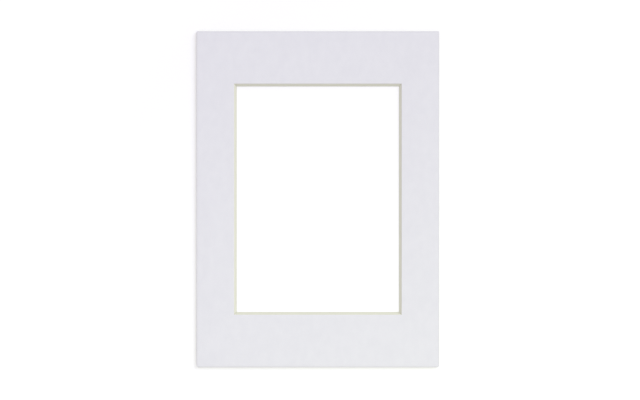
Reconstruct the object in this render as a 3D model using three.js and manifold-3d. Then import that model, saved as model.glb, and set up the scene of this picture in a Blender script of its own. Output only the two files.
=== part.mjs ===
// Picture mount: one sheet of mountboard with a rectangular window in it.
// The window is cut at a slope, so the ivory core of the board shows as a bevel round the picture,
// and the four slopes meet in mitres at its corners. The outside was cut square on a guillotine.
//
// Millimetres. The board lies on its back: X runs across, Y up the page, Z out of the face.
// The origin is the middle of the back.

import * as THREE from "three";
import Module from "manifold-3d";

// The sheet
const boardWidth = 130;
const boardHeight = 180;
const boardThickness = 1.5;
const edgeRoll = 0.3; // the blade presses the face's outer edge over in a small round
const cornerBlunting = 0.2; // what handling takes off each outer corner, beyond the roll

// The window, measured at the face
const sideBorder = 20; // left and right of the window
const endBorder = 28; // above and below it
const bevelAngle = 45; // degrees, from the back of the board to the slope

// How finely the round forms are cut
const rollSteps = 6;
const cornerSteps = 6;

const toolOverrun = 1; // how far the window cutter stands past both faces

const facePaper = new THREE.Color(0xe6e5eb);
const ivoryCore = new THREE.Color(0xebe6d2);

// One closed loop of points round the board, drawn in from its outside by inset, at height z.
// A corner keeps its centre, so drawing in makes its radius smaller.
function boardLoop(inset, z) {
  const cornerRadius = edgeRoll + cornerBlunting;
  const centreX = boardWidth / 2 - cornerRadius;
  const centreY = boardHeight / 2 - cornerRadius;
  const radius = cornerRadius - inset;
  const points = [];
  for (let corner = 0; corner < 4; corner++) {
    const sideX = corner === 0 || corner === 3 ? 1 : -1;
    const sideY = corner < 2 ? 1 : -1;
    for (let step = 0; step <= cornerSteps; step++) {
      const angle = ((corner + step / cornerSteps) * Math.PI) / 2;
      points.push(
        new THREE.Vector3(
          sideX * centreX + radius * Math.cos(angle),
          sideY * centreY + radius * Math.sin(angle),
          z,
        ),
      );
    }
  }
  return points;
}

// One closed loop round the window's cutter at height z, which follows the slope of the bevel.
function windowLoop(z) {
  const slopeRun = (boardThickness - z) / Math.tan(THREE.MathUtils.degToRad(bevelAngle));
  const halfX = boardWidth / 2 - sideBorder - slopeRun;
  const halfY = boardHeight / 2 - endBorder - slopeRun;
  return [
    new THREE.Vector3(halfX, halfY, z),
    new THREE.Vector3(-halfX, halfY, z),
    new THREE.Vector3(-halfX, -halfY, z),
    new THREE.Vector3(halfX, -halfY, z),
  ];
}

// A closed body through a stack of loops, lowest first, with a flat cap at each end.
function loft(loops) {
  const count = loops[0].length;
  const positions = loops.flat().flatMap((point) => point.toArray());
  const triangles = [];
  for (let level = 0; level + 1 < loops.length; level++) {
    for (let i = 0; i < count; i++) {
      const next = (i + 1) % count;
      const low = level * count;
      const high = low + count;
      triangles.push(low + i, low + next, high + next);
      triangles.push(low + i, high + next, high + i);
    }
  }
  const top = (loops.length - 1) * count;
  for (let i = 1; i + 1 < count; i++) {
    triangles.push(0, i + 1, i);
    triangles.push(top, top + i, top + i + 1);
  }
  const geometry = new THREE.BufferGeometry();
  geometry.setAttribute("position", new THREE.Float32BufferAttribute(positions, 3));
  geometry.setIndex(triangles);
  return geometry;
}

// The sheet before its window: square sides from the back up to the roll, then the roll, then the face.
function blankSheet() {
  const loops = [boardLoop(0, 0)];
  for (let step = 0; step <= rollSteps; step++) {
    const turn = ((step / rollSteps) * Math.PI) / 2;
    const inset = edgeRoll * (1 - Math.cos(turn));
    loops.push(boardLoop(inset, boardThickness - edgeRoll + edgeRoll * Math.sin(turn)));
  }
  return loft(loops);
}

// The tapered block that the four sloping cuts take out.
function windowCutter() {
  return loft([windowLoop(-toolOverrun), windowLoop(boardThickness + toolOverrun)]);
}

const wasm = await Module();
wasm.setup();

function solidFrom(geometry) {
  const vertProperties = geometry.getAttribute("position").array;
  const triVerts = new Uint32Array(geometry.getIndex().array);
  return new wasm.Manifold(new wasm.Mesh({ numProp: 3, vertProperties, triVerts }));
}

function geometryFrom(solid) {
  const { vertProperties, triVerts } = solid.getMesh();
  const geometry = new THREE.BufferGeometry();
  geometry.setAttribute("position", new THREE.BufferAttribute(vertProperties, 3));
  geometry.setIndex(new THREE.BufferAttribute(triVerts, 1));
  return geometry;
}

// Paints each triangle: what a blade has cut shows the core, and the rest is paper.
// A cut faces sideways, as the outside does, or back towards the middle, as the bevel does.
function paintCuts(solidGeometry) {
  const geometry = solidGeometry.toNonIndexed();
  geometry.computeVertexNormals();
  const position = geometry.getAttribute("position");
  const normal = geometry.getAttribute("normal");
  const flatWall = 0.01;
  const colours = [];
  for (let i = 0; i < position.count; i++) {
    const outward = normal.getX(i) * position.getX(i) + normal.getY(i) * position.getY(i);
    const isSideWall = Math.abs(normal.getZ(i)) < flatWall;
    const isBevel = !isSideWall && outward < -flatWall;
    colours.push(...(isSideWall || isBevel ? ivoryCore : facePaper).toArray());
  }
  geometry.setAttribute("color", new THREE.Float32BufferAttribute(colours, 3));
  return geometry;
}

function mountBoard() {
  const sheet = solidFrom(blankSheet()).subtract(solidFrom(windowCutter()));
  const mountboard = new THREE.MeshStandardMaterial({
    vertexColors: true,
    roughness: 0.9,
    metalness: 0,
  });
  const mesh = new THREE.Mesh(paintCuts(geometryFrom(sheet)), mountboard);
  mesh.name = "mount_board";
  return mesh;
}

const pictureMount = new THREE.Group();
pictureMount.name = "picture_mount";
pictureMount.add(mountBoard());

export default pictureMount;
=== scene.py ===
import math

import bpy
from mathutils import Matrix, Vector


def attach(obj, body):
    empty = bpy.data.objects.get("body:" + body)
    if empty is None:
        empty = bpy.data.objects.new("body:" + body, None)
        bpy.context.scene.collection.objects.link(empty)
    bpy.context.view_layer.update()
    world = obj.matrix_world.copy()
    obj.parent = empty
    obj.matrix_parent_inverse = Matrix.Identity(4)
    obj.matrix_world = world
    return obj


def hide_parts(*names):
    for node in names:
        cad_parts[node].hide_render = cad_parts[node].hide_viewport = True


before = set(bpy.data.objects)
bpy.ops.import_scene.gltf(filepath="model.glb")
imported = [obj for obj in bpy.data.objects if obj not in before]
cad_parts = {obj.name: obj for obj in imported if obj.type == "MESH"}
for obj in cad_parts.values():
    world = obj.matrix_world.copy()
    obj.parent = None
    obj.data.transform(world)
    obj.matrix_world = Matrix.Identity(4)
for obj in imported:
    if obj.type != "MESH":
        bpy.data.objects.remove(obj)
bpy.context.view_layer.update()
scene = bpy.context.scene
print("frame loaded:", sorted(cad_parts))

# The camera looks straight down on the sheet, with the page's long side up the picture
cameraValues = {
    "imageWidth": 640,
    "imageHeight": 400,
    "pixelSize": 0.0005354,  # metres of board that one pixel covers
    "boardCentre": (317.85, 199.2),  # where the picture has the middle of the board
    "faceHeight": 0.0015,
    "lens": 50.0,
    "sensor": 36.0,
    "nearest": 0.01,
    "farthest": 50.0,
}


def addCamera(values):
    data = bpy.data.cameras.new("photoCamera")
    camera = bpy.data.objects.new("photoCamera", data)
    scene.collection.objects.link(camera)
    data.sensor_width = values["sensor"]
    data.lens = values["lens"]
    data.clip_start = values["nearest"]
    data.clip_end = values["farthest"]
    distance = values["imageWidth"] * values["pixelSize"] * values["lens"] / values["sensor"]
    camera.location = (
        (values["imageWidth"] / 2 - values["boardCentre"][0]) * values["pixelSize"],
        (values["boardCentre"][1] - values["imageHeight"] / 2) * values["pixelSize"],
        values["faceHeight"] + distance,
    )
    scene.camera = camera


addCamera(cameraValues)
print("camera placed")


# Short names for the steps that the board needs often
def editMode():
    bpy.ops.object.mode_set(mode="EDIT")


def objectMode():
    bpy.ops.object.mode_set(mode="OBJECT")


def selectOnly(piece):
    bpy.ops.object.select_all(action="DESELECT")
    piece.select_set(True)
    bpy.context.view_layer.objects.active = piece


# Selects by place or normal, and leaves the piece in edit mode; kind is VERT, EDGE or FACE
def selectPart(piece, kind, test):
    editMode()
    bpy.ops.mesh.select_mode(type=kind)
    bpy.ops.mesh.select_all(action="DESELECT")
    objectMode()
    points = piece.data.vertices
    if kind == "VERT":
        for point in points:
            point.select = bool(test(point.co))
    elif kind == "EDGE":
        for edge in piece.data.edges:
            edge.select = bool(test(*(points[i].co for i in edge.vertices)))
    else:
        for face in piece.data.polygons:
            face.select = bool(test(face.center, face.normal))
    editMode()


board = {
    "width": 0.130,
    "height": 0.180,
    "thickness": 0.0015,
    "sideBorder": 0.020,
    "endBorder": 0.028,
    "bevelRun": 0.0015,  # how far the slope runs under the face, so it lies at 45 degrees
    # handling has blunted the four corners unevenly: right or left, upper or lower, radius
    "corners": ((1, 1, 0.0005), (-1, 1, 0.0007), (-1, -1, 0.0010), (1, -1, 0.0010)),
    "cornerSteps": 6,
    "edgeRoll": 0.0003,  # the guillotine presses the face's outer edge over
    "rollSteps": 6,
    "footRound": 0.00006,  # the back's outer edge is barely broken
    "footSteps": 2,
    "flatStart": 0.0014,  # from here inwards the face and the back are dead flat
    "lipWidth": 0.00006,  # the cut paper gives a little along the window's edge
    "lipDrop": 0.000012,
    "facePaper": 0.00013,  # thickness of the paper on the face
    "backPaper": 0.00012,
    "plyLines": (0.00042, 0.00072, 0.00102),  # heights where two plies of the core meet
    "plyGroove": 0.000035,
    "plyDepth": 0.000012,
    "smoothBelow": 30,  # degrees
}
tiny = 1e-6
deadFlat = 0.999  # the least that the normal of a truly flat face rises or falls
nearMiddle = 0.001  # only the innermost face has its centre this close to the middle
anyInset = 0.0002  # only makes the new outline, which is then sized


def isInnermost(centre, normal):
    return abs(normal.z) > deadFlat and centre.xy.length < nearMiddle


# Draws one more rectangle inside the innermost one of the face or the back, whichever has this level
def insetTo(piece, level, halfX, halfY):
    selectPart(piece, "FACE", lambda centre, normal: (
        isInnermost(centre, normal) and abs(centre.z - level) < tiny
    ))
    bpy.ops.mesh.inset(thickness=anyInset, depth=0)
    objectMode()
    points = [v.co for v in piece.data.vertices if v.select]
    wide = max(abs(p.x) for p in points)
    high = max(abs(p.y) for p in points)
    editMode()
    bpy.ops.transform.resize(value=(halfX / wide, halfY / high, 1))


# Gathers each corner's points of the selected outline into one, at its place
def squareCorners(piece, halfX, halfY):
    objectMode()
    points = [v.co.copy() for v in piece.data.vertices if v.select]
    for signX in (-1, 1):
        for signY in (-1, 1):
            corner = [p for p in points if p.x * signX > 0 and p.y * signY > 0]
            selectPart(piece, "VERT", lambda co: any((co - p).length < tiny for p in corner))
            bpy.ops.mesh.merge(type="CENTER")
            objectMode()
            merged = next(v.co for v in piece.data.vertices if v.select)
            move = (signX * halfX - merged.x, signY * halfY - merged.y, 0)
            editMode()
            bpy.ops.transform.translate(value=move)


def makeBoard(values):
    halfX, halfY, thick = values["width"] / 2, values["height"] / 2, values["thickness"]
    bpy.ops.object.select_all(action="DESELECT")
    bpy.ops.mesh.primitive_cube_add(
        size=1,
        calc_uvs=False,  # nothing reads the cube's own map, and its last digits vary from run to run
        location=(0, 0, thick / 2),
        scale=(values["width"], values["height"], thick),
    )
    piece = bpy.context.active_object
    piece.name = "mountBoard"
    bpy.ops.object.transform_apply(location=True, rotation=True, scale=True)

    # blunted corners, the roll round the face and the small round round the back
    for signX, signY, radius in values["corners"]:
        selectPart(piece, "EDGE", lambda a, b: (
            abs(a.z - b.z) > thick / 2 and a.x * signX > halfX - tiny and a.y * signY > halfY - tiny
        ))
        bpy.ops.mesh.bevel(offset=radius, segments=values["cornerSteps"], affect="EDGES")
    selectPart(piece, "EDGE", lambda a, b: min(a.z, b.z) > thick - tiny)
    bpy.ops.mesh.bevel(offset=values["edgeRoll"], segments=values["rollSteps"], affect="EDGES")
    selectPart(piece, "EDGE", lambda a, b: max(a.z, b.z) < tiny)
    bpy.ops.mesh.bevel(offset=values["footRound"], segments=values["footSteps"], affect="EDGES")

    # flat ground with square corners, on the face and on the back
    flatX, flatY = halfX - values["flatStart"], halfY - values["flatStart"]
    for level in (thick, 0):
        insetTo(piece, level, flatX, flatY)
        squareCorners(piece, flatX, flatY)

    # the window: its lip and its outline on the face, the smaller outline on the back
    windowX, windowY = halfX - values["sideBorder"], halfY - values["endBorder"]
    lip, run = values["lipWidth"], values["bevelRun"]
    insetTo(piece, thick, windowX + lip, windowY + lip)
    insetTo(piece, thick, windowX, windowY)
    insetTo(piece, 0, windowX - run, windowY - run)
    selectPart(piece, "FACE", isInnermost)
    bpy.ops.mesh.bridge_edge_loops()

    # the layers: backing paper, plies of the core, face paper and the lip's foot; the outer roll
    # keeps its own rings
    rollFoot = thick - values["edgeRoll"]
    levels = [values["backPaper"], thick - values["facePaper"], thick - lip]
    for joint in values["plyLines"]:
        levels += [joint - values["plyGroove"], joint, joint + values["plyGroove"]]
    for level in levels:
        selectPart(piece, "FACE", lambda centre, normal: (
            centre.z < rollFoot or abs(centre.x) < windowX and abs(centre.y) < windowY
        ))
        # Blender's own threshold is wider than a groove, and would leave most of these cuts out
        bpy.ops.mesh.bisect(plane_co=(0, 0, level), plane_no=(0, 0, 1), threshold=tiny)

    # the paper gives along the window's edge
    selectPart(piece, "VERT", lambda co: (
        abs(co.z - thick) < tiny and abs(co.x) < windowX + tiny and abs(co.y) < windowY + tiny
    ))
    bpy.ops.transform.translate(value=(0, 0, -values["lipDrop"]))

    # fine grooves where the plies meet, all round the outside
    shrinkX, shrinkY = 1 - values["plyDepth"] / halfX, 1 - values["plyDepth"] / halfY
    for joint in values["plyLines"]:
        selectPart(piece, "VERT", lambda co: (
            abs(co.z - joint) < tiny and (abs(co.x) > windowX or abs(co.y) > windowY)
        ))
        bpy.ops.transform.resize(value=(shrinkX, shrinkY, 1))
    objectMode()
    return piece


mountBoard = makeBoard(board)
print("board shaped:", len(mountBoard.data.polygons), "faces")

# The map lays the face and the back side by side, and the narrow cuts above them in wide strips,
# so that a texture baked on it has room for the plies
bakeMap = {
    "span": 0.268,  # metres of board across the whole map
    "gap": 0.0015,
    "stripPitch": 0.0168,
    "stripHigh": 0.0150,
}


# How far a round has turned inwards at this height past its start
def rolledIn(past, radius):
    past = min(max(past, 0), radius)
    return radius - math.sqrt(radius * radius - past * past)


def unrollBoard(piece, values, sheet):
    points, corners = piece.data.vertices, piece.data.loops
    layer = piece.data.uv_layers.new(name="OFBake")
    halfX, halfY, thick = sheet["width"] / 2, sheet["height"] / 2, sheet["thickness"]
    lip, foot, roll, gap = sheet["lipWidth"], sheet["footRound"], sheet["edgeRoll"], values["gap"]
    windowX, windowY = halfX - sheet["sideBorder"] + lip, halfY - sheet["endBorder"] + lip
    bevelDeep = lip + sheet["bevelRun"] + thick
    outsideDeep = thick + roll + foot
    for face in piece.data.polygons:
        centre, normal = face.center, face.normal
        flat = abs(normal.z) > deadFlat
        onFace = centre.z > thick / 2
        onBevel = abs(centre.x) < windowX and abs(centre.y) < windowY
        sideways = abs(normal.x) > abs(normal.y)  # a cut that faces left or right
        other = 0 if (centre.x if sideways else centre.y) > 0 else 1  # the left or the lower one

        # the rows, from the lowest: right, left, both ends, the bevel's sides, the bevel's ends
        if onBevel:
            halfLong, reach = (windowY, windowX) if sideways else (windowX, windowY)
            deep, row, spot = bevelDeep, (3 if sideways else 4), other
        elif sideways:
            halfLong, deep, row, spot = halfY, outsideDeep, other, 0
        else:
            halfLong, deep, row, spot = halfX, outsideDeep, 2, other

        for index in face.loop_indices:
            co = points[corners[index].vertex_index].co
            along, out = (co.y, abs(co.x)) if sideways else (co.x, abs(co.y))
            if flat:
                across = gap + halfX + co.x if onFace else 2 * gap + 3 * halfX - co.x
                up = gap + halfY + co.y
            else:
                if onBevel:
                    down = reach - out + thick - co.z
                else:
                    rollIn, footIn = rolledIn(co.z - thick + roll, roll), rolledIn(foot - co.z, foot)
                    down = foot + co.z + rollIn - footIn
                across = gap + halfLong + along + spot * (2 * halfLong + gap)
                up = 2 * (gap + halfY) + row * values["stripPitch"] + values["stripHigh"] * down / deep
            layer.data[index].uv = (across / values["span"], up / values["span"])


unrollBoard(mountBoard, bakeMap, board)
print("board unrolled")


# Adds a node; inputs, by name or in order, are either linked or set
def addNode(tree, kind, inputs=(), **settings):
    node = tree.nodes.new(kind)
    for name, value in settings.items():
        setattr(node, name, value)
    for spot, value in inputs.items() if isinstance(inputs, dict) else enumerate(inputs):
        socket = node.inputs[spot]
        if isinstance(value, bpy.types.NodeSocket):
            tree.links.new(value, socket)
        elif socket.type == "RGBA":
            socket.default_value = (*value, 1)
        else:
            socket.default_value = value
    return node


def calc(tree, operation, *values):
    return addNode(tree, "ShaderNodeMath", values, operation=operation).outputs[0]


def remap(tree, value, fromLow, fromHigh, toLow=0.0, toHigh=1.0):
    return addNode(tree, "ShaderNodeMapRange", {
        "Value": value, "From Min": fromLow, "From Max": fromHigh, "To Min": toLow, "To Max": toHigh,
    }).outputs[0]


# The Mix node holds plain numbers in its sockets 2 and 3, and colours in 6 and 7
def mixNumbers(tree, share, first, second):
    return addNode(tree, "ShaderNodeMix", {0: share, 2: first, 3: second}).outputs[0]


def mixColours(tree, share, first, second):
    inputs = {0: share, 6: first, 7: second}
    return addNode(tree, "ShaderNodeMix", inputs, data_type="RGBA").outputs[2]


noiseRange = (0.30, 0.70)  # where nearly all of a noise lies


# Noise whose patches have the given size in metres, along and across the given turn
def patches(tree, place, size, detail, turn=0.0):
    inputs = {"Vector": place, "Rotation": (0, 0, turn), "Scale": size}
    turned = addNode(tree, "ShaderNodeMapping", inputs, vector_type="TEXTURE").outputs[0]
    inputs = {"Vector": turned, "Scale": 1.0, "Detail": detail}
    return remap(tree, addNode(tree, "ShaderNodeTexNoise", inputs).outputs[0], *noiseRange)


# 1 on the short fibres that lie every way in a sheet, and 0 between them
def fibres(tree, place, values):
    found = 0.0
    for turn in values["fibreTurns"]:
        line = patches(tree, place, values["fibreSize"], detail=1.0, turn=turn)
        found = calc(tree, "MAXIMUM", remap(tree, line, *values["fibreEdge"]), found)
    return found


# How far in a point lies from the sides and from the ends of an upright rectangle round the middle
def inFrom(tree, place, halfX, halfY):
    axes = addNode(tree, "ShaderNodeSeparateXYZ", (place,)).outputs
    fromSide = calc(tree, "SUBTRACT", halfX, calc(tree, "ABSOLUTE", axes[0]))
    fromEnd = calc(tree, "SUBTRACT", halfY, calc(tree, "ABSOLUTE", axes[1]))
    return fromSide, fromEnd


def newMaterial(name):
    material = bpy.data.materials.new(name)
    material.use_nodes = True
    tree = material.node_tree
    shader = next(n for n in tree.nodes if n.type == "BSDF_PRINCIPLED")
    place = addNode(tree, "ShaderNodeTexCoord").outputs["Object"]
    return material, tree, shader, place


def finishSurface(tree, shader, colour, roughness, height, metres):
    relief = addNode(tree, "ShaderNodeBump", {"Strength": 1.0, "Distance": metres, "Height": height})
    tree.links.new(colour, shader.inputs["Base Color"])
    tree.links.new(roughness, shader.inputs["Roughness"])
    tree.links.new(relief.outputs[0], shader.inputs["Normal"])


# Smooth matt paper on the face: faint clouds where the fibres lie thicker, a fine tooth, and
# a little grey along the outer edge, partly wear where the guillotine pressed it and fingers have
# held it, partly painted shade that keeps the rolled edge from lighting up
faceFinish = {
    "light": (0.797, 0.788, 0.842),
    "dark": (0.767, 0.758, 0.816),
    "cloudSize": (0.0040, 0.0058, 0.0040),
    "fibreSize": (0.0022, 0.00011, 0.00011),
    "fibreTurns": (0.35, 1.30, 2.45),
    "fibreEdge": (0.66, 0.90),
    "fibreShare": 0.22,
    "fibreHeight": 0.4,
    "toothSize": (0.00045, 0.00045, 0.00045),
    "toothHeight": 0.000012,
    # partly wear, partly painted shade that keeps the rolled outer edge dark
    "edgeWearAndShadeColour": (0.640, 0.634, 0.668),
    "edgeWearAndShadeShare": 0.60,
    "edgeWearAndShadeLeast": 0.6,  # of that share, where it is faintest
    "edgeWearAndShadeReach": 0.0018,  # how far in from the outer edge the grey fades out
    "edgeWearAndShadeFade": 2.6,
    "edgeWearAndShadeSize": (0.0060, 0.0060, 0.0060),
    "roughness": (0.84, 0.94),
}

# The backing paper is plainer: greyer, with coarser clouds and more fibre showing
backFinish = {
    "light": (0.776, 0.766, 0.752),
    "dark": (0.716, 0.705, 0.690),
    "cloudSize": (0.0075, 0.0055, 0.0055),
    "fibreSize": (0.0030, 0.00016, 0.00016),
    "fibreTurns": (0.10, 1.05, 2.20, 2.75),
    "fibreEdge": (0.66, 0.90),
    "fibreShare": 0.34,
    "fibreHeight": 0.4,
    "toothSize": (0.00070, 0.00070, 0.00070),
    "toothHeight": 0.000020,
    "edgeWearAndShadeColour": (0.610, 0.598, 0.575),
    "edgeWearAndShadeShare": 0.50,
    "edgeWearAndShadeLeast": 0.6,
    "edgeWearAndShadeReach": 0.0022,
    "edgeWearAndShadeFade": 2.2,
    "edgeWearAndShadeSize": (0.0050, 0.0050, 0.0050),
    "cutColour": (0.470, 0.455, 0.415),  # hairlines where each stroke of the blade ran past a corner
    "cutLength": 0.0021,
    "cutWidth": 0.00008,
    "roughness": (0.88, 0.97),
}

# Cut pulp board: long streaks of its plies, fibres cut short, a thin line at each ply joint, and
# painted shade in the crease where two cuts meet in a mitre, along with the blade's rough line there
coreFinish = {
    "light": (0.748, 0.743, 0.652),
    "dark": (0.667, 0.663, 0.566),
    "streakSize": (0.0060, 0.0060, 0.00014),
    "pulpSize": (0.00050, 0.00050, 0.00018),
    "pulpShare": 0.40,
    "jointColour": (0.610, 0.590, 0.465),
    "jointWidth": 0.00005,
    "jointShare": 0.45,
    "jointSize": (0.0030, 0.0030, 0.0030),
    # painted shade in the mitre's crease, with the blade's rough line there
    "mitreShadeColour": (0.500, 0.488, 0.410),
    "mitreWidth": 0.00030,
    "mitreShadeShare": 0.70,
    "cutDepth": 0.000014,
    "roughness": (0.88, 0.98),
}


# 1 on the back at the window's corners, and fading along each stroke where the blade came out
def overcuts(tree, place, values, sheet):
    halfX = sheet["width"] / 2 - sheet["sideBorder"] - sheet["bevelRun"]
    halfY = sheet["height"] / 2 - sheet["endBorder"] - sheet["bevelRun"]
    fromSide, fromEnd = inFrom(tree, place, halfX, halfY)
    cuts = 0.0
    for off, along in ((fromSide, fromEnd), (fromEnd, fromSide)):
        line = remap(tree, calc(tree, "ABSOLUTE", off), 0.0, values["cutWidth"], 1.0, 0.0)
        fade = remap(tree, along, -values["cutLength"], 0.0)
        past = calc(tree, "MULTIPLY", fade, calc(tree, "LESS_THAN", along, 0.0))
        cuts = calc(tree, "MAXIMUM", calc(tree, "MULTIPLY", line, past), cuts)
    return cuts


def paperMaterial(name, values, sheet):
    material, tree, shader, place = newMaterial(name)
    cloud = patches(tree, place, values["cloudSize"], detail=4.0)
    fibre = fibres(tree, place, values)
    tone = mixNumbers(tree, values["fibreShare"], cloud, fibre)
    colour = mixColours(tree, tone, values["dark"], values["light"])

    # grey along the outer edge: partly wear, partly painted shade on the rolled edge
    nearest = calc(tree, "MINIMUM", *inFrom(tree, place, sheet["width"] / 2, sheet["height"] / 2))
    near = remap(tree, nearest, 0.0, values["edgeWearAndShadeReach"], 1.0, 0.0)
    edgeWearAndShade = calc(tree, "MULTIPLY", calc(tree, "POWER", near, values["edgeWearAndShadeFade"]), values["edgeWearAndShadeShare"])
    edgeGreyPatches = patches(tree, place, values["edgeWearAndShadeSize"], detail=2.0)
    uneven = remap(tree, edgeGreyPatches, 0.0, 1.0, values["edgeWearAndShadeLeast"], 1.0)
    colour = mixColours(tree, calc(tree, "MULTIPLY", edgeWearAndShade, uneven), colour, values["edgeWearAndShadeColour"])

    tooth = patches(tree, place, values["toothSize"], detail=3.0)
    height = calc(tree, "MULTIPLY_ADD", fibre, values["fibreHeight"], tooth)
    if "cutLength" in values:
        cuts = overcuts(tree, place, values, sheet)
        colour = mixColours(tree, cuts, colour, values["cutColour"])
        height = calc(tree, "SUBTRACT", height, cuts)
    roughness = remap(tree, tone, 0.0, 1.0, *values["roughness"])
    finishSurface(tree, shader, colour, roughness, height, values["toothHeight"])
    return material


def coreMaterial(name, values, sheet):
    material, tree, shader, place = newMaterial(name)
    streak = patches(tree, place, values["streakSize"], detail=3.0)
    pulp = patches(tree, place, values["pulpSize"], detail=3.0)
    tone = mixNumbers(tree, values["pulpShare"], streak, pulp)
    colour = mixColours(tree, tone, values["dark"], values["light"])

    level = addNode(tree, "ShaderNodeSeparateXYZ", (place,)).outputs[2]
    lines = 0.0
    for joint in sheet["plyLines"]:
        away = calc(tree, "ABSOLUTE", calc(tree, "SUBTRACT", level, joint))
        lines = calc(tree, "MAXIMUM", remap(tree, away, 0.0, values["jointWidth"], 1.0, 0.0), lines)
    broken = patches(tree, place, values["jointSize"], detail=2.0)
    lines = calc(tree, "MULTIPLY", lines, broken)
    share = calc(tree, "MULTIPLY", lines, values["jointShare"])
    colour = mixColours(tree, share, colour, values["jointColour"])

    # a point on a mitre lies as far in from the window's side as from its end
    halfX, halfY = sheet["width"] / 2 - sheet["sideBorder"], sheet["height"] / 2 - sheet["endBorder"]
    fromSide, fromEnd = inFrom(tree, place, halfX, halfY)
    apart = calc(tree, "ABSOLUTE", calc(tree, "SUBTRACT", fromSide, fromEnd))
    inWindow = calc(tree, "GREATER_THAN", calc(tree, "MINIMUM", fromSide, fromEnd), -tiny)
    mitre = calc(tree, "MULTIPLY", remap(tree, apart, 0.0, values["mitreWidth"], 1.0, 0.0), inWindow)
    # painted shade darkens the core along each mitre's crease
    share = calc(tree, "MULTIPLY", mitre, values["mitreShadeShare"])
    colour = mixColours(tree, share, colour, values["mitreShadeColour"])

    cut = calc(tree, "SUBTRACT", tone, calc(tree, "MAXIMUM", lines, mitre))
    roughness = remap(tree, tone, 0.0, 1.0, *values["roughness"])
    finishSurface(tree, shader, colour, roughness, cut, values["cutDepth"])
    return material


def dressBoard(piece, sheet):
    piece.data.materials.append(paperMaterial("faceWhite", faceFinish, sheet))
    piece.data.materials.append(coreMaterial("ivoryCore", coreFinish, sheet))
    piece.data.materials.append(paperMaterial("backWhite", backFinish, sheet))
    for face in piece.data.polygons:
        # the blade pressed the face paper down over the outer roll, and cut it clean at the window
        outside = abs(face.center.x) > sheet["width"] / 2 - sheet["sideBorder"] / 2 or (
            abs(face.center.y) > sheet["height"] / 2 - sheet["endBorder"] / 2)
        paper = sheet["edgeRoll"] if outside else sheet["facePaper"]
        if face.center.z > sheet["thickness"] - paper:
            face.material_index = 0
        elif face.center.z > sheet["backPaper"]:
            face.material_index = 1
        else:
            face.material_index = 2
    selectOnly(piece)
    bpy.ops.object.shade_smooth_by_angle(angle=math.radians(sheet["smoothBelow"]))


dressBoard(mountBoard, board)
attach(mountBoard, "root")
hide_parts("mount_board")
print("board dressed")

# A plain pale floor under soft light, with the key at the upper right of the picture
studio = {
    "floorSize": 8.0,
    "floorDrop": 0.00001,  # keeps the floor just clear of the back
    "floorColour": (0.80, 0.80, 0.80),  # what the board sees
    "seenColour": (0.975, 0.970, 1.0),  # what the camera sees
    "seenGlow": (0.058, 0.32),  # near the board, and far from it, where the floor fades to white
    "glowReach": (0.105, 0.40),
    "worldLight": 0.780,
    "worldColour": (0.995, 0.957, 1.018),
    "keyShare": 0.17,
    "keyToRight": 1.25,  # the key's lean to the right and up the page, for each metre of height
    "keyUpPage": 1.02,
    "keySpread": 40,  # degrees, wide enough for a soft shadow
    "keyColour": (0.92, 1.0, 0.95),
    "beamAim": (0.08, -0.165, 0.0),  # a lamp overhead, whose beam fades up the page
    "beamPlace": (0.25, -0.25, 1.20),
    "beamWidth": 31,
    "beamSize": 0.40,
    "beamPower": 11.4,
    "beamColour": (0.78, 1.0, 0.47),
}


# 1 for what the camera, a reflection or a clear surface shows, and 0 for lighting
def seenDirectly(tree):
    path = addNode(tree, "ShaderNodeLightPath").outputs
    reflected = calc(tree, "MAXIMUM", path["Is Glossy Ray"], path["Is Transmission Ray"])
    return calc(tree, "MAXIMUM", path["Is Camera Ray"], reflected)


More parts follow.
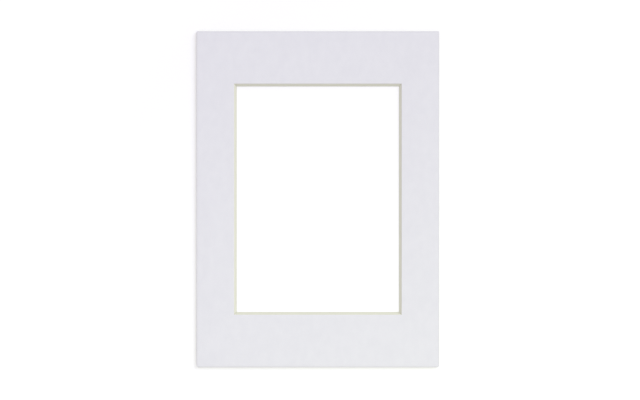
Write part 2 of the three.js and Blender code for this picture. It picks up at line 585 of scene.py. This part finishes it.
def addFloor(values):
    bpy.ops.object.select_all(action="DESELECT")
    bpy.ops.mesh.primitive_plane_add(size=values["floorSize"], location=(0, 0, -values["floorDrop"]))
    floor = bpy.context.active_object
    floor.name = "studioFloor"
    bpy.ops.object.transform_apply(location=True, rotation=True, scale=True)
    material = bpy.data.materials.new("floorWhite")
    material.use_nodes = True
    tree = material.node_tree
    tree.nodes.clear()
    plain = addNode(tree, "ShaderNodeBsdfDiffuse", {"Color": values["floorColour"]}).outputs[0]
    white = addNode(tree, "ShaderNodeBsdfDiffuse", {"Color": values["seenColour"]}).outputs[0]
    place = addNode(tree, "ShaderNodeTexCoord").outputs["Object"]
    away = addNode(tree, "ShaderNodeVectorMath", (place,), operation="LENGTH").outputs["Value"]
    strength = remap(tree, away, *values["glowReach"], *values["seenGlow"])
    glow = addNode(tree, "ShaderNodeEmission", {"Strength": strength}).outputs[0]
    shown = addNode(tree, "ShaderNodeAddShader", (white, glow)).outputs[0]
    mix = addNode(tree, "ShaderNodeMixShader", (seenDirectly(tree), plain, shown)).outputs[0]
    addNode(tree, "ShaderNodeOutputMaterial", (mix,))
    floor.data.materials.append(material)


def addWorld(values):
    world = bpy.data.worlds.new("studioWorld")
    scene.world = world
    world.use_nodes = True
    tree = world.node_tree
    tree.nodes.clear()
    inputs = {"Color": values["worldColour"], "Strength": values["worldLight"]}
    light = addNode(tree, "ShaderNodeBackground", inputs).outputs[0]
    white = addNode(tree, "ShaderNodeBackground", {"Color": (1, 1, 1), "Strength": 1.0}).outputs[0]
    mix = addNode(tree, "ShaderNodeMixShader", (seenDirectly(tree), light, white)).outputs[0]
    addNode(tree, "ShaderNodeOutputWorld", (mix,))


def addLamp(name, kind, place, aim):
    data = bpy.data.lights.new(name, kind)
    lamp = bpy.data.objects.new(name, data)
    scene.collection.objects.link(lamp)
    lamp.location = place
    lamp.rotation_mode = "QUATERNION"
    lamp.rotation_quaternion = (Vector(place) - Vector(aim)).to_track_quat("Z", "Y")
    lamp.visible_camera = False
    return data


def addStudio(values):
    addFloor(values)
    addWorld(values)
    towards = Vector((values["keyToRight"], values["keyUpPage"], 1)).normalized()
    key = addLamp("keyLight", "SUN", towards, (0, 0, 0))
    key.angle = math.radians(values["keySpread"])
    key.energy = values["keyShare"] * math.pi / towards.z  # flat white takes this share of full light
    key.color = values["keyColour"]
    beam = addLamp("beamLight", "SPOT", values["beamPlace"], values["beamAim"])
    beam.spot_size = math.radians(values["beamWidth"])
    beam.spot_blend = 1.0
    beam.shadow_soft_size = values["beamSize"] / 2
    beam.energy = values["beamPower"]
    beam.color = values["beamColour"]


addStudio(studio)
scene.view_settings.view_transform = "Standard"
print("studio lit")
